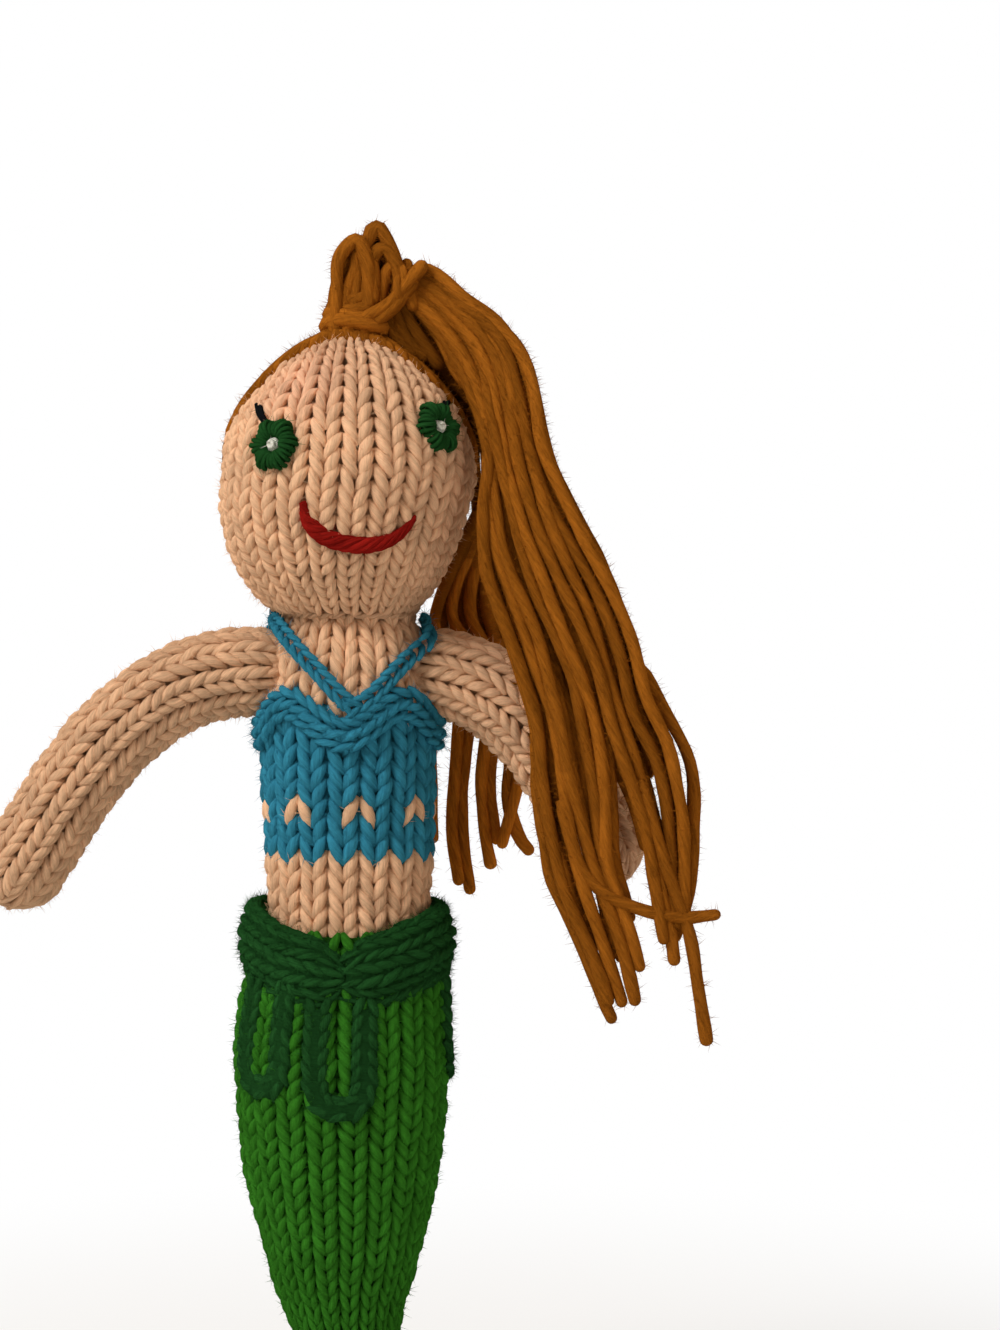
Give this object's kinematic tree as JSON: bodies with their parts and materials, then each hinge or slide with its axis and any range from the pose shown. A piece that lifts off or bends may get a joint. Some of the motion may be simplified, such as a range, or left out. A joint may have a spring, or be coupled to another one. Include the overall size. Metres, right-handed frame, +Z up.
{
  "type": "knitted mermaid doll",
  "caption": "Soft stuffed mermaid doll knitted in wool yarn, with a long side ponytail, jointed head, arms, waist and fin lobes, held in a hand.",
  "frame": {"origin": "middle of the bare waist, where a hand or a doll stand's ring holds the doll up", "axes": "+Z up the body to the head, the face looks along -Y, the ponytail hangs on the +X side"},
  "size_m": [0.1579, 0.0585, 0.2948],
  "materials": {
    "skin_yarn": "peach wool yarn, stockinette",
    "blue_yarn": "blue wool yarn",
    "green_yarn": "bright green wool yarn, stockinette",
    "dark_green_yarn": "dark green wool yarn",
    "hair_yarn": "golden brown wool yarn, one ply",
    "red_yarn": "red wool yarn",
    "white_yarn": "white cotton yarn",
    "black_thread": "black wool thread",
    "stuffing": "polyester fibre fill"
  },
  "bodies": {
    "torso": {"waist_knit": "skin_yarn", "top_knit": "blue_yarn", "chest_knit": "skin_yarn", "torso_stuffing": "stuffing", "strap_right": "blue_yarn", "strap_left": "blue_yarn", "bust_trim": "blue_yarn"},
    "neck": {"neck_drawstring": "skin_yarn"},
    "head": {"head_cover": "skin_yarn", "head_stuffing": "stuffing", "eye_right": "dark_green_yarn", "eye_knot_right": "white_yarn", "lash_right": "black_thread", "eye_left": "dark_green_yarn", "eye_knot_left": "white_yarn", "lash_left": "black_thread", "mouth": "red_yarn", "hair_cap": "hair_yarn", "topknot": "hair_yarn", "topknot_tuft_1": "hair_yarn", "topknot_tuft_2": "hair_yarn", "topknot_tuft_3": "hair_yarn"},
    "ponytail": {"hair_tie": "hair_yarn", "ponytail_lock_1": "hair_yarn", "ponytail_lock_2": "hair_yarn", "ponytail_lock_3": "hair_yarn", "ponytail_lock_4": "hair_yarn", "ponytail_lock_5": "hair_yarn", "ponytail_lock_6": "hair_yarn", "ponytail_lock_7": "hair_yarn", "ponytail_lock_8": "hair_yarn", "ponytail_lock_9": "hair_yarn", "ponytail_lock_10": "hair_yarn", "nape_strand_1": "hair_yarn", "nape_strand_2": "hair_yarn", "nape_strand_3": "hair_yarn", "nape_strand_4": "hair_yarn"},
    "arm_right": {"arm_right_cover": "skin_yarn", "arm_right_stuffing": "stuffing"},
    "arm_left": {"arm_left_cover": "skin_yarn", "arm_left_stuffing": "stuffing"},
    "tail": {"tail_cover": "green_yarn", "tail_stuffing": "stuffing", "waistband": "dark_green_yarn", "scale_loop_1": "dark_green_yarn", "scale_loop_2": "dark_green_yarn", "scale_loop_3": "dark_green_yarn", "scale_loop_4": "dark_green_yarn", "scale_loop_5": "dark_green_yarn"},
    "fin_right": {"fin_lobe_right": "dark_green_yarn"},
    "fin_left": {"fin_lobe_left": "dark_green_yarn"}
  },
  "joints": [
    {"name": "head_tilt", "type": "hinge", "parent": "torso", "child": "neck", "pos_m": [0, 0, 0.0613], "axis": [0, 1, 0], "range_deg": [-10, 10], "stiffness_Nm_per_rad": 0.15},
    {"name": "head_turn", "type": "hinge", "parent": "neck", "child": "head", "pos_m": [0, 0, 0.0613], "axis": [0, 0, 1], "range_deg": [-15, 15], "stiffness_Nm_per_rad": 0.1},
    {"name": "ponytail_swing", "type": "hinge", "parent": "neck", "child": "ponytail", "pos_m": [0.0105, 0.001, 0.1342], "axis": [0, -1, 0], "range_deg": [0, 25]},
    {"name": "shoulder_right", "type": "hinge", "parent": "torso", "child": "arm_right", "pos_m": [-0.01864, 0, 0.0502], "axis": [0, 1, 0], "range_deg": [-25, 30], "stiffness_Nm_per_rad": 0.04},
    {"name": "shoulder_left", "type": "hinge", "parent": "torso", "child": "arm_left", "pos_m": [0.01864, 0, 0.0502], "axis": [0, -1, 0], "range_deg": [-12, 30], "stiffness_Nm_per_rad": 0.04},
    {"name": "waist_bend", "type": "hinge", "parent": "torso", "child": "tail", "pos_m": [0, 0, -0.002], "axis": [1, 0, 0], "range_deg": [-18, 18], "stiffness_Nm_per_rad": 0.2},
    {"name": "fin_right_flap", "type": "hinge", "parent": "tail", "child": "fin_right", "pos_m": [0, 0, -0.112], "axis": [1, 0, 0], "range_deg": [-30, 30], "stiffness_Nm_per_rad": 0.01},
    {"name": "fin_left_flap", "type": "hinge", "parent": "tail", "child": "fin_left", "pos_m": [0, 0, -0.112], "axis": [1, 0, 0], "range_deg": [-30, 30], "stiffness_Nm_per_rad": 0.01}
  ]
}
